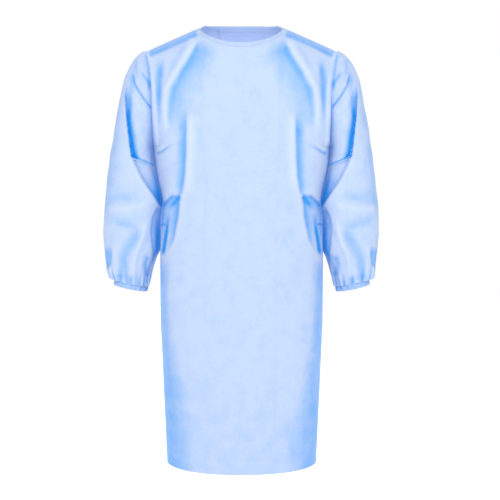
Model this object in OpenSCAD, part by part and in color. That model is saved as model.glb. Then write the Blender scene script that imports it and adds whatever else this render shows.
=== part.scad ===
// Disposable isolation gown, worn back to front: one front panel, a split back,
// loose sleeves with elastic cuffs. Millimetres, +Z up, the front faces -Y.
// The origin is the middle of the neck opening, level with the shoulder seams.

/* [Body] */
// Length from the shoulder at the neck down to the hem
gown_length = 1140; // [1080:5:1200]
// Half the width across the shoulder seams
shoulder_half = 250; // [240:1:258]
// Fall of the shoulder seam from the neck to the armhole
shoulder_drop = 61; // [50:1:70]
// Half the width of the body at the middle of the armhole
chest_half = 231; // [228:1:240]
// Half the width of the body at the underarm
underarm_half = 231; // [226:1:234]
// Half the width of the body from the waist to the hip
hip_half = 213; // [205:1:215]
// Half the width of the body at the hem
hem_half = 199; // [190:1:210]
// Depth of the front panel from the side seam, at the chest
chest_depth = 125; // [110:1:140]
// Depth of the front panel from the side seam, at the hem
hem_depth = 150; // [130:1:165]
// How much shallower the back is than the front
back_flatness = 0.86; // [0.8:0.01:0.95]
// Thickness that stands for the fabric
cloth = 1.2; // [1:0.1:1.5]

/* [Neck] */
// Half the width of the neck opening
neck_half = 107; // [100:1:112]
// Fall of the front neckline
neck_drop = 55; // [40:1:60]
// Rise of the back neckline
back_rise = 8; // [4:1:12]
// Width of the neck binding
binding_w = 10; // [8:1:14]

/* [Back opening] */
// How far each back flap reaches past the centre
overlap = 60; // [45:1:65]
// Distance between the two flaps where they overlap
flap_gap = 6; // [5:0.5:8]
// Half the distance between the two lines that the flaps swing about
flap_fold = 150; // [145:1:152]
// Width of the hook and loop patches
patch_w = 50; // [40:1:60]
// Height of the hook and loop patches
patch_h = 22; // [18:1:26]

/* [Sleeves] */
// Length of the armhole
armhole_length = 250; // [235:1:260]
// Half the depth of the armhole
armhole_depth = 55; // [48:1:58]
// Distance between the armhole edge and the sleeve
sleeve_clear = 3; // [2:0.5:4]
// Distance between the upper and lower sleeve at the elbow
elbow_gap = 3; // [2:0.5:4]
// Height of the elbow fold
elbow_z = -400; // [-410:1:-390]

/* [Cuffs] */
// Height of the elastic cuff's lower edge
cuff_z = -680; // [-690:1:-672]
// Distance of the cuff's centre from the middle of the gown
cuff_x = 295; // [293:1:297]
// Inner radius of the cuff at rest
cuff_r = 41; // [38:0.5:42]
// Height of the cuff casing
cuff_h = 16; // [12:1:18]
// Lean of the cuff, its outer side higher
cuff_lean = 12; // [8:1:14]

/* [Ties] */
// Length of a waist tie
tie_length = 620; // [560:5:630]
// Width of a waist tie
tie_w = 18; // [14:1:20]
// Height at which the waist ties are sewn on
tie_z = -495; // [-510:1:-480]

/* [Hidden] */
$fn = 96;

fabric_colour = "lightskyblue";
trim_colour = "powderblue";
elastic_colour = "white";

shoulder_slope = shoulder_drop / (shoulder_half - neck_half);
armhole_mid = -shoulder_drop - armhole_length / 2 + 1;
underarm_z = armhole_mid - armhole_length / 2;
// Height over which the armhole's edge turns in below the end of the shoulder
shoulder_curl = 50;
// Height over which the shoulder rounds off into the chest
shoulder_round = 140;
// The two exponents that round the body's cross-section
section_power = 2.4;
section_root = 2.2;
// Half the gap between the front and back panels along a seam
seam_half_gap = 0.6;
// Width of a seam allowance, and its distance from the fabric
allowance_w = 8;
allowance_clear = 1.8;
trim_thickness = 1;
trim_clear = 0.3;
// Distance that a patch keeps from a flap, whose flat facets cut inside its curve
patch_clear = 1.6;
// Distance that the armhole's seam allowance keeps from the panels' curled edges
armhole_clear = 4;
// Height over which a flap's fold line leans in towards the neck, and where it ends there
fold_lean_height = 130;
fold_neck_x = 75;

// ---- general functions ----

function mix(a, b, t) = a + (b - a) * t;
function steps(n) = [for (i = [0:n]) i / n];
function mid_rows(g, i) = [max(i - 1, 0), min(i + 1, len(g) - 1)];

// Unit normal of a grid of points at row i and column j
function grid_normal(g, i, j) =
    let (
        r = mid_rows(g, i),
        c = mid_rows(g[i], j),
        n = cross(g[i][c[1]] - g[i][c[0]], g[r[1]][j] - g[r[0]][j])
    )
    n / max(norm(n), 1e-6);

// The same grid moved along its normals
function raised(g, h) =
    [for (i = [0:len(g) - 1]) [for (j = [0:len(g[0]) - 1]) g[i][j] + h * grid_normal(g, i, j)]];

// A closed sheet whose outer face is the grid g, with its thickness t on the inside
module sheet(g, t) {
    rows = len(g);
    cols = len(g[0]);
    inner = raised(g, -t);
    total = rows * cols;
    function at(i, j) = i * cols + j;
    faces = [
        for (i = [0:rows - 2], j = [0:cols - 2])
            each [
                [at(i, j), at(i + 1, j), at(i + 1, j + 1)],
                [at(i, j), at(i + 1, j + 1), at(i, j + 1)],
                [total + at(i, j), total + at(i + 1, j + 1), total + at(i + 1, j)],
                [total + at(i, j), total + at(i, j + 1), total + at(i + 1, j + 1)]
            ],
        for (j = [0:cols - 2])
            each [
                [at(0, j), at(0, j + 1), total + at(0, j + 1)],
                [at(0, j), total + at(0, j + 1), total + at(0, j)],
                [at(rows - 1, j + 1), at(rows - 1, j), total + at(rows - 1, j)],
                [at(rows - 1, j + 1), total + at(rows - 1, j), total + at(rows - 1, j + 1)]
            ],
        for (i = [0:rows - 2])
            each [
                [at(i + 1, 0), at(i, 0), total + at(i, 0)],
                [at(i + 1, 0), total + at(i, 0), total + at(i + 1, 0)],
                [at(i, cols - 1), at(i + 1, cols - 1), total + at(i + 1, cols - 1)],
                [at(i, cols - 1), total + at(i + 1, cols - 1), total + at(i, cols - 1)]
            ]
    ];
    polyhedron(points = concat([for (r = g) each r], [for (r = inner) each r]), faces = faces);
}

// Draws its children on the right (+X) side, or mirrored on the left
module on_side(side) {
    if (side == "left")
        mirror([1, 0, 0]) children();
    else
        children();
}

// ---- shape of the body ----

// The shoulder line's height, carried on inwards over the neck opening as a smooth arch
function shoulder_z(x) =
    abs(x) < neck_half
        ? shoulder_slope * neck_half * (1 - pow(x / neck_half, 2)) / 2
        : (neck_half - abs(x)) * shoulder_slope;
function neck_arc(x) = sqrt(max(0, 1 - pow(x / neck_half, 2)));
function front_top(x) = abs(x) < neck_half ? -neck_drop * neck_arc(x) : shoulder_z(x);
function back_top(x) = abs(x) < neck_half ? back_rise * neck_arc(x) : shoulder_z(x);

function half_width(z) = lookup(z, [
    [-gown_length, hem_half],
    [-0.66 * gown_length, hip_half],
    [-0.43 * gown_length, hip_half],
    [underarm_z, underarm_half],
    [armhole_mid, chest_half],
    [-shoulder_drop - shoulder_curl, chest_half + 4],
    [-shoulder_drop, shoulder_half]
]);
function body_depth(z) = lookup(z, [
    [-gown_length, hem_depth],
    [-0.22 * gown_length, chest_depth],
    [0, chest_depth - 5]
]);

// 0 on the shoulder line, 1 from shoulder_round below it
function shoulder_rounding(x, z) =
    let (fall = min(1, max(0, shoulder_z(x) - z) / shoulder_round))
    sqrt(1 - pow(1 - fall, 2));
function section(s) = pow(1 - pow(min(abs(s), 1), section_power), 1 / section_root);

// Half the armhole's depth at a height, 0 below the underarm
function armhole_y(z) =
    armhole_depth * sqrt(max(0, 1 - pow((z - armhole_mid) / (armhole_length / 2), 2)));

// Distance of the body's fabric from the side seams' plane
function fabric_y(x, z, depth) =
    let (
        full = depth * shoulder_rounding(x, z),
        edge = min(armhole_y(z), full)
    )
    edge + (full - edge) * section(x / half_width(z)) + seam_half_gap;
function front_point(x, z) = [x, -fabric_y(x, z, body_depth(z)), z];
function back_point(x, z) = [x, fabric_y(x, z, back_flatness * body_depth(z)), z];

// Share of the way down a panel, for rows that lie closer together at the shoulder
function row_share(t) = pow(t, 1.6);
function side_z(share) = mix(-shoulder_drop, -gown_length, share);
function fold_x(z) = flap_fold - (flap_fold - fold_neck_x) * max(0, 1 + z / fold_lean_height);

// ---- body panels ----

module front_panel() {
    grid = [
        for (t = steps(16)) [
            for (u = steps(16))
                let (
                    share = row_share(t),
                    across = -sin(mix(-90, 90, u)),
                    z = mix(front_top(across * shoulder_half), -gown_length, share)
                )
                front_point(across * half_width(side_z(share)), z)
        ]
    ];
    color(fabric_colour) sheet(grid, cloth);
}

// The back from the side seam to the fold line, sewn along the shoulder
module back_side(side) {
    grid = [
        for (t = steps(16)) [
            for (u = steps(6))
                let (
                    share = row_share(t),
                    top_x = mix(fold_x(0) + 1, shoulder_half, sin(90 * u)),
                    x = mix(fold_x(-gown_length * share) + 1, half_width(side_z(share)), sin(90 * u))
                )
                back_point(x, mix(back_top(top_x), -gown_length, share))
        ]
    ];
    color(fabric_colour) on_side(side) sheet(grid, cloth);
}

// Grid of a back flap from the fold line to its free edge past the centre
function flap_grid(columns = 7) = [
    for (t = steps(16)) [
        for (u = steps(columns))
            let (
                share = row_share(t),
                top_x = mix(-overlap, fold_x(0) - 1, u),
                x = mix(-overlap, fold_x(-gown_length * share) - 1, u)
            )
            back_point(x, mix(back_top(top_x), -gown_length, share))
    ]
];

// The left flap lies outside, and the right one inside it
module back_flap(side) {
    inset = side == "left" ? 0 : -flap_gap;
    color(fabric_colour) on_side(side) sheet(raised(flap_grid(), inset), cloth);
}

// A patch on the flaps' overlap, near the neck, at a distance from the outer flap
module closure_patch(distance, colour) {
    top = -14;
    grid = [
        for (t = steps(3)) [
            for (u = steps(6))
                back_point(mix(-patch_w / 2, patch_w / 2, u), mix(top, top - patch_h, t))
        ]
    ];
    color(colour) sheet(raised(grid, -distance), trim_thickness);
}

// ---- neck binding ----

// Grid of a binding along a neckline, from angle a0 to angle a1 off the centre line
function binding_edge(a, out, rise) = [(neck_half + out) * sin(a), rise * cos(a) - out * cos(a)];
function binding_grid(a0, a1, rise, front, n) = [
    for (out = [0.5, binding_w / 2, binding_w]) [
        for (u = steps(n))
            let (
                p = binding_edge(mix(a0, a1, u), out, rise),
                z = min(p[1], shoulder_z(p[0]) - 1)
            )
            front ? front_point(p[0], z) : back_point(p[0], z)
    ]
];
module binding(a0, a1, rise, front, n, inset = 0) {
    height = trim_thickness + trim_clear + inset;
    sheet(raised(binding_grid(a0, a1, rise, front, n), height), trim_thickness);
}

// Where the binding ends at the shoulder, at the fold line and at a flap's free edge
binding_shoulder_angle = 80;
binding_fold_angle = asin(fold_neck_x / neck_half);
binding_free_angle = asin(overlap / neck_half);

module neck_binding() {
    color(trim_colour) {
        binding(binding_shoulder_angle, -binding_shoulder_angle, -neck_drop, true, 20);
        for (side = ["left", "right"])
            on_side(side) binding(binding_fold_angle + 3, binding_shoulder_angle, back_rise, false, 4);
    }
}

module neck_binding_end(side) {
    inset = side == "left" ? 0 : -flap_gap;
    color(trim_colour) on_side(side)
        binding(-binding_free_angle + 1, binding_fold_angle - 3, back_rise, false, 12, inset);
}

// ---- seam allowances, inside the gown ----

module shoulder_seam(side) {
    grid = [
        for (fall = [0, allowance_w]) [
            for (x = [shoulder_half - 6, neck_half + 8])
                [x, -trim_thickness / 2, shoulder_z(x) - allowance_clear - fall]
        ]
    ];
    color(trim_colour) on_side(side) sheet(grid, trim_thickness);
}

module armhole_seam(side) {
    grid = [
        for (inward = [0, allowance_w]) [
            for (a = [352:-16:8])
                let (z = armhole_mid + (armhole_length / 2 - armhole_clear) * cos(a))
                [half_width(z) - armhole_clear - inward, (armhole_depth - armhole_clear) * sin(a), z]
        ]
    ];
    color(trim_colour) on_side(side) sheet(grid, trim_thickness);
}

module side_seam(side) {
    grid = [
        for (t = steps(6))
            let (
                z = mix(underarm_z - 8, -gown_length + 1, t),
                x = half_width(z) - allowance_clear
            )
            [[x, -trim_thickness / 2, z], [x - allowance_w, -trim_thickness / 2, z]]
    ];
    color(trim_colour) on_side(side) sheet(grid, trim_thickness);
}

// ---- sleeves ----

function sleeve_outer(z) = lookup(z, [
    [cuff_z, cuff_x + cuff_r + 4],
    [-613, 355],
    [-565, 361],
    [-486, 358],
    [-358, 345],
    [-255, 328],
    [-150, 306],
    [-90, 284],
    [-shoulder_drop, shoulder_half + 8]
]);
function sleeve_inner(z) = lookup(z, [
    [cuff_z, cuff_x - cuff_r - 4],
    [-613, 231],
    [-570, hip_half + 7],
    [-480, hip_half + 6],
    [underarm_z - 30, underarm_half + sleeve_clear],
    [underarm_z, underarm_half + sleeve_clear],
    [armhole_mid, chest_half + sleeve_clear],
    [-shoulder_drop - shoulder_curl, chest_half + 4 + sleeve_clear],
    [-shoulder_drop, shoulder_half + sleeve_clear]
]);
function sleeve_depth(z) = lookup(z, [
    [cuff_z, cuff_r + 4],
    [-640, 52],
    [-570, 66],
    [-480, 76],
    [-380, 80],
    [-255, 78],
    [-150, 64],
    [-shoulder_drop, 8]
]);

// One row of the sleeve, open at the armhole and closed but for the seam below it
function sleeve_row(z, n, lean) =
    let (
        inner_x = sleeve_inner(z),
        outer_x = sleeve_outer(z),
        opening = max(armhole_y(z), seam_half_gap),
        depth = max(sleeve_depth(z), opening + 2),
        end = asin(opening / depth)
    )
    [
        for (u = steps(n))
            let (
                a = mix(180 - end, end - 180, u),
                x = inner_x + (outer_x - inner_x) * (cos(a) + cos(end)) / (1 + cos(end))
            )
            [x, depth * sin(a), z + lean * (x - cuff_x)]
    ];

module sleeve_upper(side) {
    top = -shoulder_drop - 4;
    grid = [for (t = steps(10)) sleeve_row(mix(top, elbow_z + elbow_gap / 2, t), 12, 0)];
    color(fabric_colour) on_side(side) sheet(grid, cloth);
}

module sleeve_lower(side) {
    bottom = cuff_z + cuff_h + 1;
    grid = [
        for (t = steps(10))
            sleeve_row(mix(elbow_z - elbow_gap / 2, bottom, t), 18, tan(cuff_lean) * t * t)
    ];
    color(fabric_colour) on_side(side) sheet(grid, cloth);
}

module underarm_seam(side) {
    start = elbow_z - elbow_gap / 2 - 2;
    grid = [
        for (t = steps(5))
            let (
                z = mix(start, cuff_z + cuff_h + 16, t),
                x = sleeve_inner(z) + allowance_clear + 1
            )
            [[x, -trim_thickness / 2, z], [x + allowance_w, -trim_thickness / 2, z]]
    ];
    color(trim_colour) on_side(side) mirror([0, 1, 0]) sheet(grid, trim_thickness);
}

// ---- cuffs ----

// Thickness of the casing's walls and of the elastic inside it
casing_wall = 1;
elastic_t = 1.2;

module in_cuff(side) {
    on_side(side) translate([cuff_x, 0, cuff_z]) rotate([0, -cuff_lean, 0]) children();
}

// The sleeve's end turned up into a channel around the elastic
module cuff_casing(side) {
    channel = elastic_t + 0.6;
    outer = cuff_r + 2 * casing_wall + channel;
    color(fabric_colour) in_cuff(side) rotate_extrude() difference() {
        translate([cuff_r, 0]) square([outer - cuff_r, cuff_h]);
        translate([cuff_r + casing_wall, casing_wall])
            square([channel, cuff_h - 2 * casing_wall]);
    }
}

module cuff_elastic(side) {
    start = cuff_r + casing_wall + 0.3;
    color(elastic_colour) in_cuff(side) rotate_extrude()
        translate([start, casing_wall + 2]) square([elastic_t, cuff_h - 2 * casing_wall - 4]);
}

// ---- ties ----

module waist_tie(side) {
    x = flap_fold + 28;
    y = back_point(x - tie_w / 2, -0.66 * gown_length)[1] + 6;
    color(fabric_colour) on_side(side)
        translate([x - tie_w / 2, y, tie_z - tie_length]) cube([tie_w, trim_thickness, tie_length]);
}

front_panel();
back_side("left");  // back_side_left
back_side("right");  // back_side_right
back_flap("left");  // back_flap_left
back_flap("right");  // back_flap_right
sleeve_upper("left");  // sleeve_upper_left
sleeve_upper("right");  // sleeve_upper_right
sleeve_lower("left");  // sleeve_lower_left
sleeve_lower("right");  // sleeve_lower_right
cuff_casing("left");  // cuff_casing_left
cuff_casing("right");  // cuff_casing_right
cuff_elastic("left");  // cuff_elastic_left
cuff_elastic("right");  // cuff_elastic_right
neck_binding();
neck_binding_end("left");  // neck_binding_end_left
neck_binding_end("right");  // neck_binding_end_right
closure_patch(cloth + patch_clear, "white");  // hook_patch
closure_patch(flap_gap - trim_thickness - 0.6, "white");  // loop_patch
shoulder_seam("left");  // shoulder_seam_left
shoulder_seam("right");  // shoulder_seam_right
armhole_seam("left");  // armhole_seam_left
armhole_seam("right");  // armhole_seam_right
side_seam("left");  // side_seam_left
side_seam("right");  // side_seam_right
underarm_seam("left");  // underarm_seam_left
underarm_seam("right");  // underarm_seam_right
waist_tie("left");  // waist_tie_left
waist_tie("right");  // waist_tie_right
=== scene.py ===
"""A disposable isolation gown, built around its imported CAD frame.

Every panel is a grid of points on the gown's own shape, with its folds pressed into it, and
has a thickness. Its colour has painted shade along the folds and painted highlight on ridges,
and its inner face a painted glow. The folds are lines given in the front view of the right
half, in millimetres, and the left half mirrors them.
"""

import math

import bpy
import numpy as np
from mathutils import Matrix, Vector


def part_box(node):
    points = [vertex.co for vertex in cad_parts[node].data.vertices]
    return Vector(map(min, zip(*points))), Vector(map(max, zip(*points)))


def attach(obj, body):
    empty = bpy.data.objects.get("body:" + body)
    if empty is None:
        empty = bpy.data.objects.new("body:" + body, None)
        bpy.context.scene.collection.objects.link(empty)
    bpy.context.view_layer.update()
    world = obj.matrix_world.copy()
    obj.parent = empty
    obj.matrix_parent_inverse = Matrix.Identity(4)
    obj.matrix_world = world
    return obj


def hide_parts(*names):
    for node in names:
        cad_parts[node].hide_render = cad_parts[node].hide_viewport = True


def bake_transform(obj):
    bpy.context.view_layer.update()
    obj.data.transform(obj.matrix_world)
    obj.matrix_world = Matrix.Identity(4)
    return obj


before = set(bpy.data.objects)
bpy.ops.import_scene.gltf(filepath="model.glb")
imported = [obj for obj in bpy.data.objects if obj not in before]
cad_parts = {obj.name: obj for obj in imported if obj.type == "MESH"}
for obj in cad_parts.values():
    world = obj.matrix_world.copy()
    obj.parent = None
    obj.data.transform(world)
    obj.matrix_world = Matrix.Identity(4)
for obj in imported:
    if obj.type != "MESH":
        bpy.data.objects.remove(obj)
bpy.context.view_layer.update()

MM = 0.001
CLOTH = 0.0007
TRIM = 0.0005
TAPE = 0.0009
TIE = 0.0012
SIDES = {"right": 1, "left": -1}

# ---- camera, light and floor ----

VIEW_CENTRE = (0.0220, 0.0, -0.5800)
VIEW_DISTANCE = 2.397
VIEW_HEIGHT = -0.4555
VIEW_WIDTH = 1.3226
LIGHTS_AIM = (0, 0, -0.5)
FLOOR_HALF = 9.0
FLOOR_LEVEL = -1.75


def aim(obj, target):
    """Turns an object so that its -Z looks at the target."""
    direction = Vector(target) - obj.location
    obj.rotation_euler = direction.to_track_quat("-Z", "Y").to_euler()


def make_camera():
    data = bpy.data.cameras.new("camera")
    camera = bpy.data.objects.new("camera", data)
    bpy.context.scene.collection.objects.link(camera)
    camera.location = (VIEW_CENTRE[0], -VIEW_DISTANCE, VIEW_HEIGHT)
    aim(camera, VIEW_CENTRE)
    reach = (Vector(VIEW_CENTRE) - camera.location).length
    data.lens = data.sensor_width * reach / VIEW_WIDTH
    bpy.context.scene.camera = camera


def area_light(name, location, size, power):
    data = bpy.data.lights.new(name, "AREA")
    data.shape = "SQUARE"
    data.size = size
    data.energy = power
    light = bpy.data.objects.new(name, data)
    bpy.context.scene.collection.objects.link(light)
    light.location = location
    aim(light, LIGHTS_AIM)


def make_studio():
    world = bpy.data.worlds.new("studio")
    bpy.context.scene.world = world
    world.use_nodes = True
    background = world.node_tree.nodes["Background"]
    background.inputs["Color"].default_value = (1.0, 1.0, 1.0, 1.0)
    background.inputs["Strength"].default_value = 1.0
    area_light("key", (0.0, -2.8, 0.9), 0.9, 42)
    area_light("back", (0.6, 2.6, 0.8), 1.6, 12)
    bpy.context.scene.view_settings.view_transform = "Standard"
    mesh = bpy.data.meshes.new("floor")
    signs = ((-1, -1), (1, -1), (1, 1), (-1, 1))
    corners = [(x * FLOOR_HALF, y * FLOOR_HALF, FLOOR_LEVEL) for x, y in signs]
    mesh.from_pydata(corners, [], [(0, 1, 2, 3)])
    floor = bpy.data.objects.new("floor", mesh)
    bpy.context.scene.collection.objects.link(floor)
    material = bpy.data.materials.new("floor")
    material.use_nodes = True
    shader = material.node_tree.nodes["Principled BSDF"]
    shader.inputs["Base Color"].default_value = (0.97, 0.97, 0.97, 1.0)
    shader.inputs["Roughness"].default_value = 0.9
    shader.inputs["Emission Color"].default_value = (1.0, 1.0, 1.0, 1.0)
    shader.inputs["Emission Strength"].default_value = 0.3
    mesh.materials.append(material)


make_camera()
make_studio()

# ---- materials ----


class Nodes:
    """A material's node tree, with short ways to add to it."""

    def __init__(self, name, roughness, sheen):
        self.material = bpy.data.materials.new(name)
        self.material.use_nodes = True
        self.tree = self.material.node_tree
        self.shader = self.tree.nodes["Principled BSDF"]
        self.shader.inputs["Roughness"].default_value = roughness
        self.shader.inputs["Sheen Weight"].default_value = sheen
        self.shader.inputs["Sheen Roughness"].default_value = 0.5
        self.shader.inputs["Specular IOR Level"].default_value = 0.25
        uv = self.tree.nodes.new("ShaderNodeUVMap")
        uv.uv_map = "cloth"
        self.uv = uv.outputs["UV"]

    def add(self, kind, inputs=None, **settings):
        node = self.tree.nodes.new(kind)
        for key, value in settings.items():
            setattr(node, key, value)
        for key, value in (inputs or {}).items():
            if isinstance(value, bpy.types.NodeSocket):
                self.tree.links.new(value, node.inputs[key])
            else:
                node.inputs[key].default_value = value
        return node

    def math(self, operation, a, b=0.0, c=0.0):
        return self.add("ShaderNodeMath", {0: a, 1: b, 2: c}, operation=operation).outputs[0]

    def noise(self, scale, detail=2.0, stretch=(1.0, 1.0, 1.0)):
        mapped = self.add("ShaderNodeMapping", {"Vector": self.uv, "Scale": stretch})
        node = self.add(
            "ShaderNodeTexNoise",
            {"Vector": mapped.outputs[0], "Scale": scale, "Detail": detail},
        )
        return node.outputs["Fac"]

    def mix(self, factor, a, b):
        node = self.add("ShaderNodeMix", data_type="RGBA")
        for socket, value in ((node.inputs[0], factor), (node.inputs[6], a), (node.inputs[7], b)):
            if isinstance(value, bpy.types.NodeSocket):
                self.tree.links.new(value, socket)
            else:
                socket.default_value = value
        return node.outputs[2]

    def dots(self, pitch):
        """Bond points: the product of two waves along the cloth's two diagonals."""
        parts = self.add("ShaderNodeSeparateXYZ", {0: self.uv})
        turn = 2 * math.pi / (pitch * math.sqrt(2))
        total = self.math("ADD", parts.outputs[0], parts.outputs[1])
        apart = self.math("SUBTRACT", parts.outputs[0], parts.outputs[1])
        waves = [self.math("SINE", self.math("MULTIPLY", s, turn)) for s in (total, apart)]
        return self.math("SMOOTH_MAX", self.math("MULTIPLY", *waves), 0.0, 0.35)

    def finish(self, colour, heights):
        """Joins the colour, and bumps of (height, depth in metres), to the shader."""
        self.tree.links.new(colour, self.shader.inputs["Base Color"])
        normal = None
        for height, depth in heights:
            inputs = {"Height": height, "Distance": depth, "Strength": 1.0}
            if normal is not None:
                inputs["Normal"] = normal
            normal = self.add("ShaderNodeBump", inputs).outputs[0]
        self.tree.links.new(normal, self.shader.inputs["Normal"])
        return self.material


# ramp colours, paler to deeper: painted highlight and paler tone; the cloth's own blue; painted
# shade, deeper tone and the bond points' colour; painted deep shade
PALE = (0.445, 0.535, 0.72, 1.0)
BASE = (0.392, 0.487, 0.68, 1.0)
MIDDLE = (0.19, 0.365, 0.70, 1.0)
DEEP_SHADE = (0.002, 0.25, 0.68, 1.0)
# reach of the ambient occlusion that paints shade in hollows and between parts
OCCLUSION_REACH = 0.04
# strengths of the painted glow beside the arms and on the cloth's inner faces
PAINTED_GROOVE_GLOW = 0.5
PAINTED_INNER_GLOW = 0.37
CRUMPLE_DEPTH = 0.0009
FIBRE_DEPTH = 0.00016
DOT_DEPTH = 0.00012


def nonwoven(name, tone=1.0, pitch=0.0019):
    """Spun-bonded fabric: clouds of fibre, fibres and bond points.

    It is painted deeper blue, as shade, where the mesh's fold attribute says so and where ambient
    occlusion finds it in hollows or between parts; the same attribute paints it paler on ridges,
    and its inner attribute gives it a painted glow.
    """
    n = Nodes(name, roughness=0.75, sheen=0.08)
    broad = n.math("MULTIPLY", n.noise(26, 3), 0.65)
    clouds = n.math("ADD", broad, n.math("MULTIPLY", n.noise(95, 2), 0.35))
    # the fold attribute carries painted shade and highlight, the inner attribute a painted glow
    fold = n.add("ShaderNodeAttribute", attribute_name="fold").outputs["Fac"]
    inner = n.add("ShaderNodeAttribute", attribute_name="inner").outputs["Fac"]
    # painted shade from ambient occlusion, weaker on inner faces, added to the painted fold shade
    # and highlight and to the cloth's random tone
    hollow = n.add("ShaderNodeAmbientOcclusion", {"Distance": OCCLUSION_REACH}, samples=8)
    occlusion_shade = n.add(
        "ShaderNodeMapRange",
        {"Value": hollow.outputs["AO"], "From Min": 0.72, "From Max": 0.05, "To Max": 0.5},
        interpolation_type="SMOOTHSTEP",
    )
    outside = n.math("SUBTRACT", 1.0, n.math("MULTIPLY", inner, 0.85))
    depth = n.math("ADD", fold, n.math("MULTIPLY", occlusion_shade.outputs[0], outside))
    depth = n.math("ADD", depth, n.math("MULTIPLY", n.math("SUBTRACT", clouds, 0.5), -0.5))
    place = n.math("ADD", n.math("MULTIPLY", depth, 0.5), 0.5)
    ramp = n.add("ShaderNodeValToRGB", {"Fac": place})
    stops = ramp.color_ramp.elements
    stops[0].position, stops[1].position = 0.28, 1.0
    colours = (PALE, BASE, MIDDLE, DEEP_SHADE)
    shades = [tuple(c * tone for c in colour[:3]) + (1.0,) for colour in colours]
    stops[0].color, stops[1].color = shades[0], shades[3]
    for position, shade in ((0.5, shades[1]), (0.74, shades[2])):
        stops.new(position).color = shade
    dots = n.dots(pitch)
    colour = n.mix(n.math("MULTIPLY", dots, 0.08), ramp.outputs["Color"], shades[2])
    # painted glow: emission in place of light that comes through the cloth, on its inner face and
    # beside the arms
    n.tree.links.new(ramp.outputs["Color"], n.shader.inputs["Emission Color"])
    n.tree.links.new(n.math("MULTIPLY", inner, PAINTED_INNER_GLOW), n.shader.inputs["Emission Strength"])
    fibres = n.noise(2600, 3, (1.0, 0.22, 1.0))
    crumple = n.noise(140, 4)
    sunk = n.math("MULTIPLY", dots, -1.0)
    return n.finish(colour, [(crumple, CRUMPLE_DEPTH), (fibres, FIBRE_DEPTH), (sunk, DOT_DEPTH)])


def woven_tape(name, colour, dark, pitch=0.0012):
    """Narrow knitted or woven tape: ribs along it and across it."""
    n = Nodes(name, roughness=0.8, sheen=0.2)
    parts = n.add("ShaderNodeSeparateXYZ", {0: n.uv})
    turn = 2 * math.pi / pitch
    ribs = [n.math("SINE", n.math("MULTIPLY", parts.outputs[k], turn)) for k in (0, 1)]
    weave = n.math("ADD", n.math("MULTIPLY", n.math("MULTIPLY", *ribs), 0.5), 0.5)
    fuzz = n.noise(900, 3)
    shade = n.mix(n.math("MULTIPLY", weave, 0.35), colour, dark)
    shade = n.mix(n.math("MULTIPLY", fuzz, 0.12), shade, dark)
    return n.finish(shade, [(weave, 0.0003), (fuzz, 0.0002)])


MATERIALS = {
    "gown_fabric": nonwoven("gown_fabric"),
    "binding": nonwoven("binding", tone=0.96, pitch=0.0015),
    "seam": nonwoven("seam", tone=0.9, pitch=0.0012),
    "elastic": woven_tape("elastic", (0.86, 0.88, 0.9, 1.0), (0.5, 0.55, 0.62, 1.0)),
    "hook_and_loop": woven_tape(
        "hook_and_loop", (0.83, 0.86, 0.9, 1.0), (0.45, 0.52, 0.62, 1.0), pitch=0.0016
    ),
}

# ---- grids and meshes ----


def smooth(a, b, x):
    """0 up to a, 1 from b, and an even rise between them."""
    t = np.clip((x - a) / (b - a), 0, 1)
    return t * t * (3 - 2 * t)


def bell(x, width):
    """1 at 0, falling to nothing a few widths away."""
    return np.exp(-((x / width) ** 2))


def profile(points, blur=0.016):
    """A smooth curve of value against height, through a few (height, value) points."""
    points = sorted(points)
    step, reach = 0.002, 40
    z = np.arange(-1.3, 0.15, step)
    value = np.interp(z, [p[0] for p in points], [p[1] for p in points])
    kernel = bell(np.arange(-reach, reach + 1) * step, blur * math.sqrt(2))
    value = np.convolve(np.pad(value, reach, mode="edge"), kernel / kernel.sum(), mode="valid")
    return lambda at: np.interp(at, z, value)


def cloud(u, v, size, seed):
    """Smooth random height from -1 to 1, with hills about `size` across."""
    table = np.random.default_rng(seed).uniform(-1, 1, (64, 64))
    x, y = u / size, v / size
    i, j = np.floor(x).astype(int), np.floor(y).astype(int)
    fx, fy = x - i, y - j
    sx, sy = fx**3 * (10 - 15 * fx + 6 * fx**2), fy**3 * (10 - 15 * fy + 6 * fy**2)
    row0 = table[i % 64, j % 64] * (1 - sx) + table[(i + 1) % 64, j % 64] * sx
    row1 = table[i % 64, (j + 1) % 64] * (1 - sx) + table[(i + 1) % 64, (j + 1) % 64] * sx
    return row0 * (1 - sy) + row1 * sy


def clouds(u, v, size, seed):
    """Three turned layers of cloud, so that no grid shows."""
    total = 0
    for k, (angle, share) in enumerate(((0.4, 1.0), (1.5, 0.55), (2.5, 0.35))):
        c, s = math.cos(angle), math.sin(angle)
        total = total + share * cloud(c * u - s * v, s * u + c * v, size * share**0.7, seed + k)
    return total


def grid_normals(grid, closed=False):
    """Normals of a grid's outer face; a closed grid's last column meets its first."""
    if closed:
        wide = np.concatenate([grid[:, -1:], grid, grid[:, :1]], axis=1)
        across = np.gradient(wide, axis=1)[:, 1:-1]
    else:
        across = np.gradient(grid, axis=1)
    down = np.gradient(grid, axis=0)
    n = np.cross(across, down)
    return n / np.maximum(np.linalg.norm(n, axis=2, keepdims=True), 1e-9)


def path_lengths(points):
    """Distance of each point from the first, along the path."""
    steps = np.linalg.norm(np.diff(points, axis=0), axis=1)
    return np.concatenate([[0], np.cumsum(steps)])


def blurred(a, reach=5):
    """The values of a grid, each averaged with its neighbours."""
    for axis in (0, 1):
        wide = np.pad(a, [(reach, reach) if k == axis else (0, 0) for k in (0, 1)], mode="edge")
        places = [np.arange(k, k + a.shape[axis]) for k in range(2 * reach + 1)]
        parts = [np.take(wide, place, axis=axis) for place in places]
        a = sum(parts) / len(parts)
    return a


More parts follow.
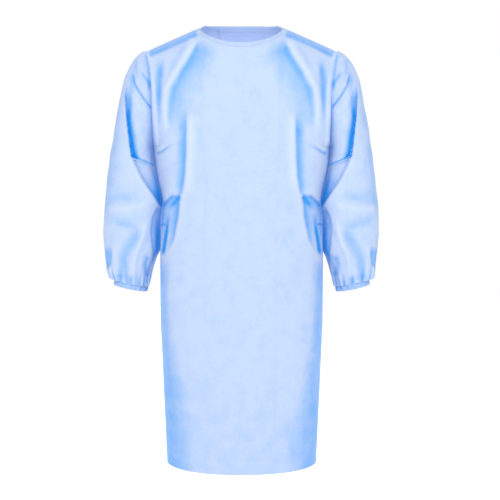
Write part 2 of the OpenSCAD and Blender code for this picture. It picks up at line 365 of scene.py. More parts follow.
def sheet_mesh(
    name, grid, normals, slot, thickness=CLOTH, closed=False, cut=None, fold=None, painted_glow=None
):
    """Makes a piece of cloth whose outer face is the grid; cut keeps only some of its rows.

    fold is the outer face's painted shade and highlight, and within is the outer face's painted
    glow, an emission in place of light that comes through the cloth; the inner face glows in full.
    """
    u = path_lengths(np.concatenate([grid, grid[:, :1]], axis=1)[grid.shape[0] // 2])
    v = path_lengths(grid[:, grid.shape[1] // 2])
    if cut is not None:
        grid, normals, v = grid[cut], normals[cut], v[cut]
        fold = None if fold is None else fold[cut]
        painted_glow = None if painted_glow is None else painted_glow[cut]
    rows, cols = grid.shape[:2]
    verts = np.concatenate([grid.reshape(-1, 3), (grid - thickness * normals).reshape(-1, 3)])
    spans = cols if closed else cols - 1
    i, j = np.meshgrid(np.arange(rows - 1), np.arange(spans), indexing="ij")
    i, j = i.ravel(), j.ravel()
    corners = [(i, j), (i + 1, j), (i + 1, j + 1), (i, j + 1)]
    at = lambda r, c, layer: layer * rows * cols + r * cols + c % cols
    faces = [
        np.stack([at(r, c, 0) for r, c in corners], axis=1),
        np.stack([at(r, c, 1) for r, c in corners[::-1]], axis=1),
    ]
    uvs = [
        np.stack([np.stack([u[c], v[r]], axis=1) for r, c in order], axis=1)
        for order in (corners, corners[::-1])
    ]
    span = np.arange(spans)
    for r, flip in ((0, False), (rows - 1, True)):
        a, b = (span + 1, span) if flip else (span, span + 1)
        faces.append(np.stack([at(r, a, 0), at(r, b, 0), at(r, b, 1), at(r, a, 1)], axis=1))
        ends = [np.stack([u[k], np.full(spans, v[r])], axis=1) for k in (a, b)]
        uvs.append(np.stack([ends[0], ends[1], ends[1], ends[0]], axis=1))
    if not closed:
        drop = np.arange(rows - 1)
        for c, flip in ((0, True), (cols - 1, False)):
            a, b = (drop + 1, drop) if flip else (drop, drop + 1)
            faces.append(np.stack([at(a, c, 0), at(b, c, 0), at(b, c, 1), at(a, c, 1)], axis=1))
            ends = [np.stack([np.full(rows - 1, u[c]), v[k]], axis=1) for k in (a, b)]
            uvs.append(np.stack([ends[0], ends[1], ends[1], ends[0]], axis=1))
    faces, uvs = np.concatenate(faces), np.concatenate(uvs)
    mesh = bpy.data.meshes.new(name)
    mesh.from_pydata(verts.tolist(), [], faces.tolist())
    layer = mesh.uv_layers.new(name="cloth")
    layer.data.foreach_set("uv", uvs.reshape(-1).astype(np.float32))
    mesh.polygons.foreach_set("use_smooth", np.ones(len(faces), bool))
    shade = np.zeros(rows * cols) if fold is None else fold.ravel()
    lit = np.zeros(rows * cols) if painted_glow is None else (painted_glow + np.zeros((rows, cols))).ravel()
    for label, outer, inner in (("fold", shade, 0 * shade), ("inner", lit, 0 * shade + 1)):
        values = mesh.attributes.new(name=label, type="FLOAT", domain="POINT")
        values.data.foreach_set("value", np.concatenate([outer, inner]).astype(np.float32))
    mesh.update()
    mesh.set_sharp_from_angle(angle=math.radians(70))
    mesh.materials.append(MATERIALS[slot])
    piece = bpy.data.objects.new(name, mesh)
    bpy.context.scene.collection.objects.link(piece)
    return piece


def on_side(grid, side):
    """Mirrors a right-hand grid to the left, and keeps its outer face outside."""
    if side == "right":
        return grid
    mirrored = grid[:, ::-1].copy()
    mirrored[..., 0] *= -1
    return mirrored


# ---- lines that folds follow ----


class Line:
    """A fold's line in the front view: (x, z) points of the right half, in millimetres."""

    def __init__(self, *points):
        self.points = np.array(points, float) * MM
        self.share = path_lengths(self.points)
        self.share = self.share / self.share[-1]

    def measure(self, x, z):
        """Distance in millimetres, positive on the body's side of the line, and share along it."""
        best = np.full(x.shape, 1e9)
        side = np.zeros(x.shape)
        share = np.zeros(x.shape)
        for k in range(len(self.points) - 1):
            a, b = self.points[k], self.points[k + 1]
            d = b - a
            t = ((x - a[0]) * d[0] + (z - a[1]) * d[1]) / (d @ d)
            t = np.clip(t, 0, 1)
            px, pz = x - a[0] - t * d[0], z - a[1] - t * d[1]
            far = np.hypot(px, pz)
            near = far < best
            best = np.where(near, far, best)
            side = np.where(near, np.sign(d[0] * pz - d[1] * px), side)
            share = np.where(near, self.share[k] + t * (self.share[k + 1] - self.share[k]), share)
        return -side * best / MM, share


def ends_fade(share, head, tail):
    """1 along a line, falling to 0 over its first and last parts."""
    out = np.ones_like(share)
    if head:
        out = out * smooth(0, head, share)
    if tail:
        out = out * smooth(1, 1 - tail, share)
    return out


# ---- shape of the body ----

GOWN_LENGTH = -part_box("front_panel")[0].z
NECK_HALF = 0.107
NECK_DROP = 0.055
BACK_RISE = 0.012
SHOULDER_HALF = 0.250
SHOULDER_DROP = 0.061
SHOULDER_SLOPE = SHOULDER_DROP / (SHOULDER_HALF - NECK_HALF)
ARMHOLE_MID = -0.185
ARMHOLE_HALF = 0.125
ARMHOLE_DEPTH = 0.055
UNDERARM_Z = ARMHOLE_MID - ARMHOLE_HALF
SHOULDER_ROUND = 0.140
BACK_FLATNESS = 0.86

half_width = profile([
    (-GOWN_LENGTH, 0.1985), (-1.074, 0.2015), (-0.947, 0.207), (-0.867, 0.2098), (-0.77, 0.2143),
    (-0.60, 0.2143), (-0.486, 0.2135), (-0.470, 0.212), (-0.455, 0.207), (-0.443, 0.2075),
    (-0.407, 0.2155), (-0.359, 0.2255), (-0.34, 0.228), (-0.31, 0.2303), (-0.271, 0.2293),
    (-0.212, 0.2302), (-0.161, 0.2304), (-0.124, 0.2338), (-0.09, 0.2405), (-SHOULDER_DROP, 0.250),
], 0.005)
body_depth = profile([(-GOWN_LENGTH, 0.147), (-0.60, 0.132), (-0.25, 0.123), (0.0, 0.118)], 0.04)


def shoulder_z(x):
    x = np.abs(x)
    arch = SHOULDER_SLOPE * NECK_HALF * (1 - (x / NECK_HALF) ** 2) / 2
    return np.where(x < NECK_HALF, arch, (NECK_HALF - x) * SHOULDER_SLOPE)


def neck_arc(x):
    return np.sqrt(np.clip(1 - (x / NECK_HALF) ** 2, 0, 1))


def front_top(x):
    return np.where(np.abs(x) < NECK_HALF, -NECK_DROP * neck_arc(x), shoulder_z(x))


def back_top(x):
    return np.where(np.abs(x) < NECK_HALF, BACK_RISE * neck_arc(x), shoulder_z(x))


def armhole_y(z):
    return ARMHOLE_DEPTH * np.sqrt(np.clip(1 - ((z - ARMHOLE_MID) / ARMHOLE_HALF) ** 2, 0, 1))


def fabric_y(x, z, depth, power):
    fall = np.clip((shoulder_z(x) - z) / SHOULDER_ROUND, 0, 1)
    full = depth * np.sqrt(1 - (1 - fall) ** 2)
    edge = np.minimum(armhole_y(z), full)
    s = np.clip(np.abs(x) / half_width(z), 0, 1)
    return edge + (full - edge) * (1 - s**power) ** (1 / 2.2)


# ---- folds of the body's front, and of the sleeves ----


class Fold:
    """A fold along a line: its depth and its widths on the body's side and away, in millimetres.

    A negative depth is a ridge. The tint is painted shade, or painted highlight where it is
    negative: how much deeper, or paler, its colour is.
    """

    def __init__(self, points, depth, near, far, tint, head=0.15, tail=0.15):
        self.line = Line(*points)
        self.depth, self.near, self.far, self.tint = depth, near, far, tint
        self.head, self.tail = head, tail

    def press(self, x, z):
        d, share = self.line.measure(x, z)
        strength = bell(d, np.where(d > 0, self.near, self.far))
        strength = strength * ends_fade(share, self.head, self.tail)
        return -self.depth * strength, self.tint * strength


def pressed(folds, x, z):
    """The height in millimetres and the painted shade and highlight that several folds give
    together.
    """
    parts = [fold.press(x, z) for fold in folds]
    return sum(p[0] for p in parts), sum(p[1] for p in parts)


SHOULDER_STRIP = Fold(
    [(106, -12), (150, -30), (200, -51), (246, -72)],
    2.2, 7, 26, 0.40, 0.12, 0.08,
)
NECK_RIDGE = Fold(
    [(119, -23), (148, -75), (179, -124), (198, -158), (203, -200), (200, -285)],
    -5.0, 7, 8, -0.24, 0.08, 0.35,
)
NECK_HOLLOW = Fold(
    [(98, -20), (122, -68), (150, -114), (174, -160), (186, -225), (184, -290)],
    4.2, 52, 11, 0.29, 0.15, 0.45,
)
ARM_HOLLOW = Fold(
    [(203, -66), (211, -100), (216, -140), (217, -200), (215, -265)],
    4.0, 10, 13, 0.36, 0.25, 0.6,
)
EDGE_RIDGE = Fold(
    [(243, -100), (232, -150), (229, -212), (227, -271), (221, -325)],
    -1.8, 6, 5, -0.25,
)
CHEST_CREASE = Fold(
    [(145, -195), (147, -250), (149, -330), (151, -382), (158, -424), (161, -440)],
    3.6, 4.5, 22, 0.27, 0.3, 0.05,
)
CHEST_RIDGE = Fold(
    [(136, -215), (138, -330), (142, -382), (150, -440)],
    -2.0, 14, 5, -0.22, 0.2, 0.2,
)
ARMPIT_WRINKLE = Fold(
    [(226, -328), (212, -322), (196, -310), (172, -300)],
    2.2, 4, 4, 0.17, 0.1, 0.6,
)
ARMPIT_RIDGE = Fold([(222, -318), (206, -308), (186, -298)], -1.6, 4, 4, -0.2, 0.2, 0.5)
WAIST_DARK = Fold(
    [(193, -470), (195, -500), (198, -528), (203, -560), (209, -598)],
    5.0, 4.5, 5, 0.70, 0.7, 0.15,
)
WAIST_VEE = Fold([(160, -438), (172, -450), (185, -462), (194, -478)], 2.4, 7, 5, 0.26, 0.05, 0.6)
WAIST_NICK = Fold([(214, -515), (206, -511), (200, -515)], 1.6, 2.5, 2.5, 0.30)
FRONT_FOLDS = (
    SHOULDER_STRIP, NECK_RIDGE, NECK_HOLLOW, ARM_HOLLOW, EDGE_RIDGE, CHEST_CREASE, CHEST_RIDGE,
    ARMPIT_WRINKLE, ARMPIT_RIDGE, WAIST_DARK, WAIST_VEE, WAIST_NICK,
)
WAIST_EDGE = Line((159, -425), (161, -440), (165, -493), (177, -554), (192, -582), (208, -606))


def front_folds(x, z):
    """Height in millimetres, and painted shade and highlight, of the front panel's folds, in the
    front view.
    """
    ax = np.abs(x)
    height, tint = pressed(FRONT_FOLDS, ax, z)
    pocket, pocket_tint = waist_pocket(ax, z)
    return height + pocket, tint + pocket_tint


def painted_side_shade(x, z, wide):
    """Painted shade: the cloth below the hip is deeper near its sides, where it turns from the
    light; wide is how far this reaches.
    """
    start = 0.80 - wide * smooth(-0.70, -GOWN_LENGTH, z)
    turned = smooth(start, 0.98, np.abs(x) / half_width(z))
    return 0.5 * turned * smooth(-0.56, -0.66, z)


def seen(grid):
    """Where points lie in the front view, on the plane through the gown's sides."""
    scale = VIEW_DISTANCE / (VIEW_DISTANCE + grid[..., 1])
    return grid[..., 0] * scale, VIEW_HEIGHT + (grid[..., 2] - VIEW_HEIGHT) * scale


def waist_pocket(ax, z):
    """The slack cloth that the forearm presses into the gown's side, with its painted shade."""
    edge, _ = WAIST_EDGE.measure(ax, z)
    top = -0.432 - 0.9 * np.maximum(ax - 0.184, 0)
    below = smooth(0.006, -0.010, z - top)
    inside = below * smooth(3.0, -5.0, edge) * smooth(-0.62, -0.50, z)
    lip = bell((z - top + 0.006) / MM, 8) * inside
    return -7.0 * inside, 0.27 * inside + 0.12 * lip


DEEP_LINE = Line(
    (303.5, -136), (306, -173), (304, -205), (302, -234), (298, -271), (292, -320), (289, -333)
)
FOREARM_EDGE = Line((290, -333), (263, -390), (236, -432), (214, -466))
INNER_EDGE = Line((224, -468), (236, -493), (240, -530), (237, -567), (233, -596), (241, -640))
NOTCH_EDGE = Line((340, -566), (343, -600), (345, -618), (354, -636))
SLEEVE_FOLDS = (
    Fold([(290, -108), (291, -150), (294, -200), (299, -245)], 4.0, 7, 6, 0.42, 0.2, 0.2),
    Fold(
        [(288, -96), (287, -115), (279, -147), (261, -176), (234, -209)],
        3.5, 3.2, 2.4, 0.62, 0.3, 0.0,
    ),
    Fold([(296, -120), (290, -168), (266, -200), (238, -222)], -2.0, 5, 8, -0.2, 0.2, 0.1),
    Fold([(251, -62), (243, -100), (240, -125), (236, -170)], 2.0, 5, 6, 0.35, 0.1, 0.3),
    Fold([(264, -110), (252, -125), (240, -142), (236, -165)], 2.4, 4, 5, 0.38, 0.2, 0.3),
    Fold([(276, -76), (278, -105), (272, -130)], 2.0, 6, 5, 0.26, 0.2, 0.5),
    Fold([(291, -331), (260, -344), (225, -359)], 4.0, 2.6, 2.2, 0.75, 0.0, 0.0),
    Fold([(356, -434), (310, -440), (252, -434)], 2.8, 15, 15, 0.24, 0.35, 0.5),
    Fold([(358, -470), (310, -470), (238, -462)], -2.6, 9, 9, -0.28, 0.1, 0.2),
    Fold([(354, -498), (305, -512), (258, -521)], 3.2, 14, 12, 0.27, 0.4, 0.4),
    Fold([(262, -517), (288, -554), (312, -603), (317, -665)], 8.0, 15, 16, 0.38, 0.25, 0.1),
    Fold([(243, -493), (263, -554), (280, -591), (288, -660)], -6.0, 9, 10, -0.34, 0.2, 0.1),
    Fold([(336, -560), (337, -600), (336, -655)], -3.0, 8, 7, -0.25, 0.2, 0.2),
    Fold([(246, -590), (255, -622), (246, -655)], 5.0, 8, 8, 0.45, 0.2, 0.2),
    Fold(
        [(316, -130), (330, -200), (343, -265), (352, -340), (360, -430), (362, -520)],
        0.0, 20, 20, 0.30, 0.1, 0.2,
    ),
)


def sleeve_folds(ax, z):
    """Height in millimetres forwards, and painted shade and highlight, of a sleeve's folds, in the
    front view.
    """
    height, tint = pressed(SLEEVE_FOLDS, ax, z)
    above = smooth(-0.338, -0.331, z + 0.40 * (0.290 - ax))
    # the long deep fold beside the arm, crisp on its outer side, with painted shade in it and a
    # painted highlight on its lip
    d, share = DEEP_LINE.measure(ax, z)
    reach = 8 + 8 * share
    inside = smooth(-2.2, 1.4, d) * np.exp(-((np.maximum(d, 0) / reach) ** 2))
    inside = inside * ends_fade(share, 0.25, 0.0)
    height = height - inside * above * (5 + 9 * share)
    tint = tint + inside * above * (0.6 + 0.75 * smooth(0.3, 0.6, share))
    lip = smooth(2, -2, d) * np.exp(np.minimum(d, 0) / 12) * ends_fade(share, 0.3, 0.0) * above
    height, tint = height + 2.5 * lip, tint - 0.2 * lip
    # the hollow behind the forearm's upper edge, with painted shade deepest at its corner, and a
    # painted highlight on the edge's lip
    d, share = FOREARM_EDGE.measure(ax, z)
    under = smooth(-0.333, -0.342, z + 0.40 * (0.290 - ax)) * smooth(-0.475, -0.462, z)
    inside = smooth(-1.8, 1.8, d) * under
    height = height - inside * (10 + 12 * share)
    corner = smooth(0.45, 0.95, share + 0.004 * np.maximum(d, 0))
    tint = tint + inside * (0.02 + 0.35 * np.exp(-np.maximum(d, 0) / 6) + 0.75 * corner)
    lip = smooth(1.8, -1.8, d) * np.exp(np.minimum(d, 0) / 14) * ends_fade(share, 0.05, 0.0)
    lip = lip * smooth(-0.33, -0.345, z)
    height, tint = height + 4.0 * lip, tint - 0.34 * lip
    # the forearm's inner side, turned to the body, with painted shade
    d, share = INNER_EDGE.measure(ax, z)
    inside = smooth(-2.0, 2.0, d) * smooth(-0.462, -0.474, z) * smooth(-0.655, -0.60, z)
    height = height - inside * 9
    low = smooth(-0.49, -0.56, z) * smooth(0.236, 0.218, ax)
    tint = tint + inside * (0.34 + 0.5 * low)
    # the notch in the outer edge above the cuff, with painted shade; and painted shade deepening
    # down to the cuff
    d, share = NOTCH_EDGE.measure(ax, z)
    inside = smooth(2.0, -2.0, d) * ends_fade(share, 0.1, 0.15)
    inside = inside * smooth(-0.555, -0.585, z) * smooth(-0.64, -0.62, z)
    inside = inside * smooth(-0.562, -0.60, z - 0.5 * (ax - 0.340))
    return height - 8 * inside, tint + 0.6 * inside + 0.25 * smooth(-0.63, -0.668, z)


def crumple(grid, seed, amount=1.0):
    """Random softness of the cloth in millimetres: broad waves, and small ones."""
    u = grid[..., 0] + 0.8 * grid[..., 1]
    v = grid[..., 2]
    broad = 1.5 * clouds(u, v * 0.55, 0.11, seed)
    small = 0.45 * clouds(u, v * 0.8, 0.032, seed + 10)
    fine = 0.12 * clouds(u, v, 0.011, seed + 20)
    return amount * (broad + small + fine)


# ---- body panels ----

ROWS_TOP = 200
ROWS_SKIRT = 52
FRONT_COLUMNS = 187
BACK_COLUMNS = 121
SHARE_WAIST = 0.56
EDGE_CLEAR = 0.0004
BINDING_HALF = 0.1055
FOLD_GAIN = 1.3
FRONT_SEED = 3
BACK_SEED = 40


def row_shares():
    """Shares of the way down a panel, close together down to the waist."""
    top = SHARE_WAIST * np.linspace(0, 1, ROWS_TOP, endpoint=False) ** 1.15
    return np.concatenate([top, np.linspace(SHARE_WAIST, 1, ROWS_SKIRT)])


def painted_relief_shading(bump, scale=7.0):
    """Painted shade in valleys and painted highlight on ridges, from their height in millimetres
    against what lies around.
    """
    return np.clip((blurred(blurred(bump)) - bump) / scale, -0.25, 0.4)


def make_front():
    share = row_shares()[:, None]
    across = -np.sin(np.linspace(-1, 1, FRONT_COLUMNS) * math.pi / 2)[None, :]
    side = -SHOULDER_DROP + (SHOULDER_DROP - GOWN_LENGTH) * share
    top = front_top(across * half_width(-SHOULDER_DROP))
    z = top + (-GOWN_LENGTH - top) * share
    x = across * half_width(side)
    roundness = 3.0 - 0.9 * smooth(-0.65, -GOWN_LENGTH, z)
    y = -fabric_y(x, z, body_depth(z), roundness) - EDGE_CLEAR
    grid = np.stack([x + 0 * z, y, z + 0 * x], axis=2)
    normals = grid_normals(grid)
    rim = np.minimum(1, (1 - np.abs(across)) / 0.01) * np.minimum(1, share / 0.02)
    # painted shade and highlight along the folds
    height, tint = front_folds(*seen(grid))
    # painted shade near the sides below the hip, and deeper towards the hem
    tint = tint + painted_side_shade(grid[..., 0], grid[..., 2], 0.32)
    tint = tint + 0.07 * smooth(-0.85, -GOWN_LENGTH, grid[..., 2])
    soft = crumple(grid, FRONT_SEED) * (0.4 + 0.6 * smooth(0.06, 0.16, np.abs(x))) * rim
    folds = FOLD_GAIN * height * smooth(1.0, 0.95, np.abs(across)) * rim
    bump = folds + soft
    grid[..., 1] -= folds * MM
    grid = grid + normals * (soft * MM)[..., None]
    normals = grid_normals(grid)
    # painted glow where the panel's sides meet the sleeves
    painted_glow = PAINTED_GROOVE_GLOW * smooth(0.90, 1.0, np.abs(across)) + 0 * share
    # painted shade in valleys, painted highlight on ridges
    tint = tint + painted_relief_shading(bump)
    piece = sheet_mesh("gown_front", grid, normals, "gown_fabric", fold=tint, painted_glow=painted_glow)
    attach(piece, "root")
    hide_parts("front_panel")
    columns = np.abs(across[0]) * SHOULDER_HALF < BINDING_HALF
    binding = binding_mesh("neck_binding_front", grid, normals, columns)
    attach(binding, "root")
    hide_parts("neck_binding")
    return piece, grid, [binding]


def binding_mesh(name, grid, normals, columns, rows=6):
    """A tape folded over the neckline, made from a panel's first rows."""
    edge, n = grid[:, columns], normals[:, columns]
    up = edge[0] - edge[1]
    up = up / np.linalg.norm(up, axis=1, keepdims=True)
    outer = edge[rows::-1] + 0.0008 * n[rows::-1]
    over = (edge[0] + 0.0009 * up - 0.0003 * n[0])[None]
    inner = edge[:rows] - 0.0014 * n[:rows]
    tape = np.concatenate([outer, over, inner])[::-1]
    # painted glow on the tape's inner face
    painted_glow = np.concatenate([np.zeros(rows + 2), np.ones(rows)])[::-1, None]
    return sheet_mesh(name, tape, grid_normals(tape), "binding", thickness=TRIM, painted_glow=painted_glow)


OVERLAP = 0.060
FLAP_GAP = 0.0035
PATCH_ROWS = slice(7, 16)
PATCH_HALF = 0.026


def back_fold_bump(x, z):
    """Soft vertical folds of the back, which hangs free below the shoulders."""
    hang = smooth(-0.10, -0.45, z)
    broad = np.sin(x * 2 * math.pi / 0.093 + 2.2 * z) * 2.6
    narrow = np.sin(x * 2 * math.pi / 0.051 - 1.4 * z + 1.0) * 1.1
    return (broad + narrow) * hang


def make_back(side):
    share = row_shares()[:, None]
    reach = np.linspace(0, 1, BACK_COLUMNS)[None, :]
    bend = np.sin(reach * math.pi / 2) * 0.5 + reach * 0.5
    level = -SHOULDER_DROP + (SHOULDER_DROP - GOWN_LENGTH) * share
    top_x = -OVERLAP + (half_width(-SHOULDER_DROP) + OVERLAP) * bend
    x = -OVERLAP + (half_width(level) + OVERLAP) * bend
    top = back_top(top_x)
    z = top + (-GOWN_LENGTH - top) * share
    y = fabric_y(x, z, BACK_FLATNESS * body_depth(z), 2.6) + EDGE_CLEAR
    grid = np.stack([x + 0 * z, y, z + 0 * x], axis=2)
    normals = grid_normals(grid)
    rim = np.minimum(1, (1 - reach) / 0.03) * np.minimum(1, share / 0.02)
    hem_x = grid[..., 0] * SIDES[side]
    soft = 0.7 * crumple(grid * [SIDES[side], 1, 1], BACK_SEED)
    bump = (back_fold_bump(hem_x, grid[..., 2]) + soft) * rim
    if side == "right":
        under = smooth(0.12, 0.065, grid[..., 0])
        bump = bump - FLAP_GAP / MM * under * np.minimum(1, 0.3 + share / 0.01)
    grid = on_side(grid + normals * (bump * MM)[..., None], side)
    normals = grid_normals(grid)
    # painted shade in the back's valleys and near its sides, painted highlight on its ridges
    tint = painted_relief_shading(bump) + painted_side_shade(x, z, 0.10)
    shade = tint if side == "right" else tint[:, ::-1]
    piece = sheet_mesh(f"gown_back_{side}", grid, normals, "gown_fabric", fold=shade)
    flap_blend(piece)
    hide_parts(f"back_side_{side}", f"back_flap_{side}")
    columns = np.abs(grid[0, :, 0]) < BINDING_HALF
    binding = binding_mesh(f"neck_binding_{side}", grid, normals, columns)
    flap_blend(binding)
    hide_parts(f"neck_binding_end_{side}")
    patch = closure_patch(side, grid, normals)
    return piece, grid, [binding, patch]


def closure_patch(side, grid, normals):
    """The hook patch under the left flap, or the loop patch on the right one."""
    name, lift = {"left": ("hook_patch", -0.0008), "right": ("loop_patch", 0.0011)}[side]
    columns = np.abs(grid[10, :, 0]) < PATCH_HALF
    part = grid[PATCH_ROWS, columns] + lift * normals[PATCH_ROWS, columns]
    patch = sheet_mesh(f"{name}_tape", part, grid_normals(part), "hook_and_loop", thickness=TAPE)
    flap_blend(patch)
    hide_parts(name)
    return patch


def flap_blend(piece):
    """Bakes the piece's transform into its mesh."""
    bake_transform(piece)


# ---- sleeves ----

HIP_Z = -0.50
sleeve_outer = profile([
    (-0.700, 0.336), (-0.677, 0.342), (-0.661, 0.3515), (-0.645, 0.355), (-0.613, 0.358),
    (-0.549, 0.3625), (-0.486, 0.360), (-0.454, 0.358), (-0.422, 0.3545), (-0.390, 0.352),
    (-0.358, 0.3475), (-0.327, 0.344), (-0.295, 0.3385), (-0.263, 0.334), (-0.231, 0.329),
    (-0.200, 0.3225), (-0.168, 0.3155), (-0.136, 0.3095), (-0.120, 0.303), (-0.104, 0.295),
    (-0.088, 0.2855), (-0.072, 0.2725), (-0.064, 0.262), (-SHOULDER_DROP, 0.254),
], 0.0025)
sleeve_free = profile([
    (-0.700, 0.252), (-0.677, 0.250), (-0.645, 0.2415), (-0.613, 0.2345), (-0.581, 0.2235),
    (-0.570, 0.2165), (-0.555, 0.2143), (-0.50, 0.2139),
], 0.004)


def sleeve_inner(z):
    """The sleeve's inner side touches the body down to the hip, and then leaves it."""
    touching = half_width(z) + 0.5 * EDGE_CLEAR * smooth(-0.31, -0.33, z)
    return np.where(z > HIP_Z, touching, sleeve_free(z))


sleeve_depth = profile([
    (-0.700, 0.043), (-0.668, 0.045), (-0.64, 0.056), (-0.57, 0.066), (-0.48, 0.076),
    (-0.38, 0.079), (-0.255, 0.076), (-0.15, 0.064), (-0.10, 0.044), (-0.075, 0.022),
    (-SHOULDER_DROP, 0.003),
], 0.006)

CUFF_Z = -0.680
CUFF_X = 0.295
CUFF_R = 0.041
CUFF_H = 0.016
CUFF_LEAN = math.radians(12)
ELBOW_SPLIT = -0.44
SLEEVE_COLUMNS = 181
SLEEVE_SEEDS = {"right": 70, "left": 90}
GATHERS = 2.8
SEAM_CLEAR = 0.0012
SEAM_WIDTH = 0.008


def gather(angle, seed):
    """Uneven gathers round a cuff, from -1 to 1."""
    ripple = np.sin(17 * angle + 1.3 * np.sin(3 * angle + seed)) + 0.5 * np.sin(29 * angle + seed)
    return ripple / 1.5


def blend_upper_sleeve(piece):
    """Bakes the piece's transform into its mesh."""
    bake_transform(piece)


def blend_lower_sleeve(piece):
    """Bakes the piece's transform into its mesh."""
    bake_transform(piece)


def make_sleeve(side):
    seed = SLEEVE_SEEDS[side]
    top, bottom = -SHOULDER_DROP, CUFF_Z + CUFF_H - 0.001
    z_rows = np.concatenate([
        np.linspace(top, -0.10, 30, endpoint=False),
        np.linspace(-0.10, -0.62, 170, endpoint=False),
        np.linspace(-0.62, bottom, 26),
    ])[:, None]
    inner, outer = sleeve_inner(z_rows), sleeve_outer(z_rows)
    opening = armhole_y(z_rows) + EDGE_CLEAR
    depth = np.maximum(sleeve_depth(z_rows), opening + 0.0015)
    end = np.arcsin(opening / depth)
    t = np.linspace(0, 1, SLEEVE_COLUMNS)[None, :]
    a = (math.pi - end) * (1 - 2 * t)
    c = (np.cos(a) + np.cos(end)) / (1 + np.cos(end))
    x = inner + (outer - inner) * (c - 0.6 * c * (1 - c) ** 2)
    y = depth * np.sin(a)
    down = (z_rows - top) / (bottom - top)
    lean = math.tan(CUFF_LEAN) * smooth(0.45, 1.0, down) * (x - CUFF_X)
    grid = np.stack([x, y, z_rows + lean], axis=2)
    normals = grid_normals(grid)
    facing = smooth(-0.02, 0.35, -normals[..., 1])
    edge = np.minimum(1, (1 - np.abs(2 * t - 1)) / 0.03)
    height, tint = sleeve_folds(*seen(grid))
    folds = height * facing * edge
    mirror = grid * [SIDES[side], 1, 1]
    soft = crumple(mirror, seed, 1.3) * np.minimum(1, (1 - np.abs(2 * t - 1)) / 0.08)
    soft = soft * smooth(-SHOULDER_DROP, -0.09, z_rows)
    gathers = GATHERS * gather(a, seed) * smooth(-0.60, -0.668, z_rows) ** 1.6
    puffs = 1.6 * gather(a * 0.5, seed + 3) * smooth(-0.54, -0.62, z_rows)
    gathers = gathers + puffs * smooth(-0.68, -0.64, z_rows)
    grid[..., 1] -= folds * MM
    soft = soft * smooth(-0.668, -0.64, z_rows) + gathers
    grid = grid + normals * (soft * MM)[..., None]
    # painted shade and highlight of the folds on the sleeve's front, and of its gathers
    tint = tint * facing + painted_relief_shading(soft)
    grid = on_side(grid, side)
    normals = grid_normals(grid)
    if side == "left":
        tint = tint[:, ::-1]
    split = int(np.argmin(np.abs(z_rows[:, 0] - ELBOW_SPLIT)))
    # painted glow along the sleeve's inner side, beside the body, fading out above the cuff
    painted_glow = PAINTED_GROOVE_GLOW * smooth(0.78, 0.95, np.abs(2 * t - 1))
    painted_glow = painted_glow * smooth(-0.66, -0.58, z_rows)
    upper, lower = [
        sheet_mesh(
            f"sleeve_{side}_{part}_cloth", grid, normals, "gown_fabric",
            cut=cut, fold=tint, painted_glow=painted_glow,
        )
        for part, cut in (("upper", slice(0, split + 1)), ("lower", slice(split, None)))
    ]
    blend_upper_sleeve(upper)
    blend_lower_sleeve(lower)
    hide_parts(f"sleeve_upper_{side}")
    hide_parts(f"sleeve_lower_{side}")
    seams = make_underarm_seams(side)
    [seams[1]] + make_cuff(side)


def ring_grid(side, radii, heights, seed, ripple):
    """A closed ring about the cuff's leaning axis, through (radius, height) pairs."""
    a = np.linspace(0, 2 * math.pi, 180, endpoint=False)[None, :]
    r = np.array(radii)[:, None]
    h = np.array(heights)[:, None]
    wave = gather(math.pi - a, seed)
    r = r + ripple * wave
    h = h + 0.35 * ripple * gather(a + 1.0, seed + 5)
    px, py = r * np.cos(a), -r * np.sin(a)
    c, s = math.cos(CUFF_LEAN), math.sin(CUFF_LEAN)
    x = CUFF_X + c * px - s * h
    z = CUFF_Z + s * px + c * h
    return on_side(np.stack([x, py, z], axis=2), side)


def make_cuff(side):
    seed = SLEEVE_SEEDS[side]
    turn = np.linspace(0, math.pi, 9)
    wall = 0.0016
    # down the outside, round the bottom edge, and up the inside
    radii = [CUFF_R + 0.0036] * 9
    radii += list(CUFF_R + 0.002 + wall * np.cos(turn))
    radii += [CUFF_R + 0.0004] * 9
    heights = list(np.linspace(CUFF_H, 0.0022, 9))
    heights += list(0.0018 - wall * np.sin(turn))
    heights += list(np.linspace(0.0022, CUFF_H, 9))
    grid = ring_grid(side, radii, heights, seed, ripple=0.0016)
    normals = grid_normals(grid, closed=True)
    shade = np.full(grid.shape[:2], 0.28)
    cuff = sheet_mesh(
        f"cuff_{side}", grid, normals, "gown_fabric", thickness=TRIM, closed=True, fold=shade
    )
    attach(cuff, f"forearm_{side}")
    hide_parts(f"cuff_casing_{side}")
    levels = list(np.linspace(0.012, 0.004, 6))
    elastic = ring_grid(side, [CUFF_R + 0.0024] * 6, levels, seed, ripple=0.0008)
    band = sheet_mesh(
        f"cuff_elastic_band_{side}", elastic, grid_normals(elastic, closed=True), "elastic",
        thickness=TAPE, closed=True,
    )
    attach(band, f"forearm_{side}")
    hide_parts(f"cuff_elastic_{side}")
    return [cuff, band]


# ---- seam allowances ----


def ribbon(name, path, across, width, slot, steps_across=3, shade=0.3):
    """A narrow strip along a path, which reaches `width` off it."""
    reach = np.linspace(0, width, steps_across)[None, :, None]
    grid = path[:, None, :] + np.array(across, float)[None, None, :] * reach
    fold = np.full(grid.shape[:2], shade)
    return sheet_mesh(name, grid, grid_normals(grid), slot, thickness=0.0006, fold=fold)


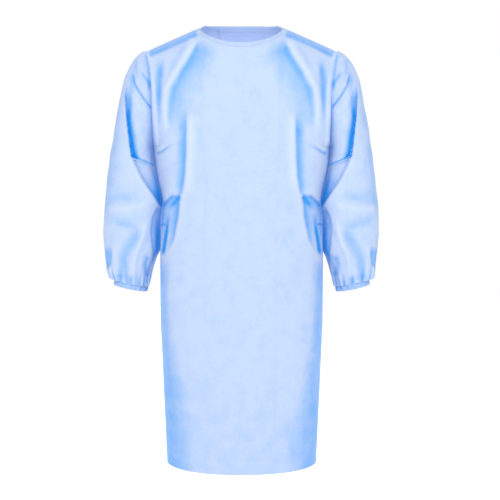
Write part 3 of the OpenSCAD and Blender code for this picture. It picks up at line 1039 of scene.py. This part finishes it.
def make_body_seams(side):
    """The shoulder, armhole and side seams' allowances, inside the body."""
    s = SIDES[side]
    x = np.linspace(SHOULDER_HALF - 0.006, NECK_HALF + 0.008, 30)
    shoulder = ribbon(
        f"shoulder_seam_{side}_tape",
        np.stack([s * x, 0 * x, shoulder_z(x) - SEAM_CLEAR], axis=1),
        (0, 0, -1), SEAM_WIDTH, "seam",
    )
    a = np.linspace(0.06, 2 * math.pi - 0.06, 90)
    z = ARMHOLE_MID + (ARMHOLE_HALF - 0.003) * np.cos(a)
    around_y = (ARMHOLE_DEPTH - 0.002) * np.sin(a)
    around = np.stack([s * (half_width(z) - 2 * SEAM_CLEAR), around_y, z], axis=1)
    armhole = ribbon(f"armhole_seam_{side}_tape", around, (-s, 0, 0), SEAM_WIDTH, "seam")
    z = np.linspace(UNDERARM_Z - 0.008, -GOWN_LENGTH + 0.001, 160)
    down = np.stack([s * (half_width(z) - 2.5 * SEAM_CLEAR), 0 * z, z], axis=1)
    side_seam = ribbon(f"side_seam_{side}_tape", down, (-s, 0, 0), SEAM_WIDTH, "seam")
    pieces = [shoulder, armhole, side_seam]
    for piece, node in zip(pieces, ("shoulder_seam", "armhole_seam", "side_seam")):
        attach(piece, "root")
        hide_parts(f"{node}_{side}")
    return pieces


def make_underarm_seams(side):
    """The sleeve seam's allowance, above and below the elbow."""
    s = SIDES[side]
    pieces = []
    for part, top, bottom in (("upper", -0.322, ELBOW_SPLIT), ("lower", ELBOW_SPLIT, -0.655)):
        z = np.linspace(top, bottom, 60)
        down = np.stack([s * (sleeve_inner(z) + SEAM_CLEAR), 0 * z, z], axis=1)
        pieces.append(ribbon(f"underarm_seam_{side}_{part}", down, (s, 0, 0), SEAM_WIDTH, "seam"))
    blend_upper_sleeve(pieces[0])
    blend_lower_sleeve(pieces[1])
    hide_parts(f"underarm_seam_{side}")
    return pieces


# ---- waist ties ----

STITCH_TINT = 0.35
TIE_COLUMNS = (-0.5, -0.4, -0.3, -0.1, 0.1, 0.3, 0.4, 0.5)


def strip_tint(rows, columns):
    """Tint of a folded strip, with a line of stitches near either edge."""
    tint = np.zeros((rows, columns))
    tint[:, 1] = tint[:, -2] = STITCH_TINT
    return tint


def make_tie(side, back):
    """A waist tie, hanging from the short tab by which it is sewn to the back."""
    low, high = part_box(f"waist_tie_{side}")
    middle, level, top = (low.x + high.x) / 2, low.y + 0.0005, high.z
    width = 0.9 * (high.x - low.x)
    across = np.array(TIE_COLUMNS)[None, :] * width
    z = np.linspace(top, low.z + 0.003, 170)[:, None]
    free = smooth(top, top - 0.12, z)
    seed = 1.0 if side == "right" else 2.3
    turn = free * (0.35 * np.sin(11 * z + seed) + 0.2 * np.sin(23 * z + 2 * seed))
    x = middle + 0.004 * free * np.sin(8.5 * z + seed) + across * np.cos(turn)
    y = level + 0.003 * free * (1 + np.sin(13 * z + 3 * seed)) + across * np.sin(turn)
    grid = np.stack([x, y, z + 0 * x], axis=2)
    tie = sheet_mesh(
        f"waist_tie_{side}_strip", grid, grid_normals(grid), "gown_fabric",
        thickness=TIE, fold=strip_tint(*grid.shape[:2]),
    )
    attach(tie, f"tie_{side}")
    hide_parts(f"waist_tie_{side}")
    z = np.linspace(top + 0.030, top + 0.0005, 24)[:, None]
    column = int(np.argmin(np.abs(back[back.shape[0] // 2, :, 0] - middle)))
    surface = np.interp(z[::-1, 0], back[::-1, column, 2], back[::-1, column, 1])[::-1, None]
    y = surface + 0.0016 + (level - surface - 0.0016) * smooth(top + 0.014, top, z) + 0 * across
    grid = np.stack([middle + across + 0 * z, y, z + 0 * across], axis=2)
    tint = strip_tint(*grid.shape[:2])
    tint[1] = tint[12] = STITCH_TINT
    tab = sheet_mesh(
        f"waist_tie_{side}_tab", grid, grid_normals(grid), "gown_fabric",
        thickness=TIE, fold=tint,
    )
    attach(tab, "root")
    return tab


# ---- the whole gown ----


front, front_grid, front_trims = make_front()
seams = []
for name in SIDES:
    seams += make_body_seams(name)
for name in SIDES:
    back, back_grid, trims = make_back(name)
    tab = make_tie(name, back_grid)
    make_sleeve(name)
